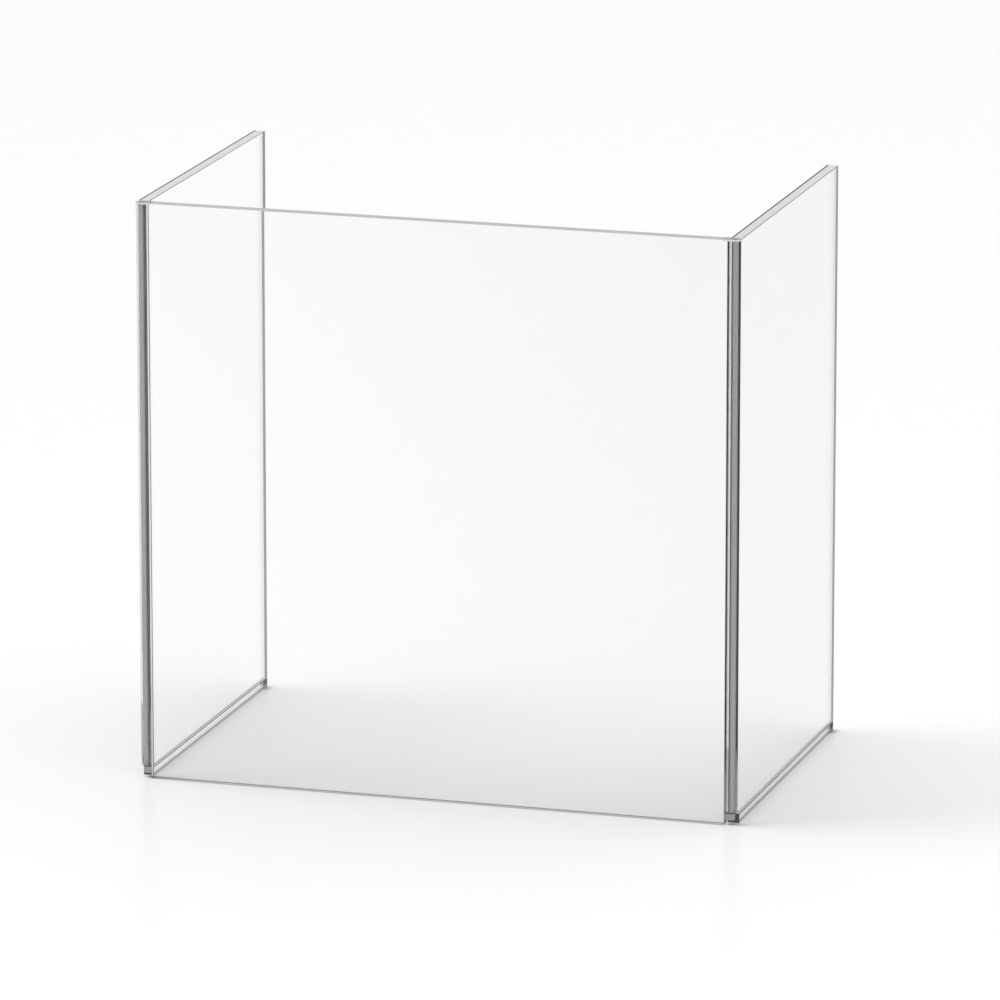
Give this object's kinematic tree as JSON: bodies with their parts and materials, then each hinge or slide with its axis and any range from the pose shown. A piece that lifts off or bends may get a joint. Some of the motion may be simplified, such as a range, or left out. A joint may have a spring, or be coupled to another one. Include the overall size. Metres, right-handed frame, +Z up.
{
  "type": "table-top sneeze guard",
  "caption": "Three-sided clear acrylic sneeze guard: a front panel and two wings that swing on full-height corner pins.",
  "frame": {"origin": "on the table, at the middle of the footprint", "axes": "+Z up, +X towards the right wing seen from the customer's side, +Y from the front panel back to the food"},
  "size_m": [0.526, 0.32, 0.5],
  "materials": {
    "clear_acrylic": "flame-polished clear cast acrylic",
    "stainless_steel": "polished stainless steel",
    "black_nylon": "plain moulded nylon"
  },
  "bodies": {
    "front": {"front_panel": "clear_acrylic", "left_hinge_bracket": "stainless_steel", "left_hinge_washer": "black_nylon", "left_hinge_top_plate": "stainless_steel", "right_hinge_bracket": "stainless_steel", "right_hinge_washer": "black_nylon", "right_hinge_top_plate": "stainless_steel"},
    "left_wing": {"left_wing_panel": "clear_acrylic", "left_glide_strip": "clear_acrylic", "left_rear_pad": "black_nylon", "left_hinge_barrel": "clear_acrylic", "left_hinge_pin": "stainless_steel"},
    "right_wing": {"right_wing_panel": "clear_acrylic", "right_glide_strip": "clear_acrylic", "right_rear_pad": "black_nylon", "right_hinge_barrel": "clear_acrylic", "right_hinge_pin": "stainless_steel"}
  },
  "joints": [
    {"name": "left_wing_swing", "type": "hinge", "parent": "front", "child": "left_wing", "pos_m": [-0.258, -0.155, 0.25], "axis": [0, 0, 1], "range_deg": [0, 180]},
    {"name": "right_wing_swing", "type": "hinge", "parent": "front", "child": "right_wing", "pos_m": [0.258, -0.155, 0.25], "axis": [0, 0, -1], "range_deg": [0, 180]}
  ]
}
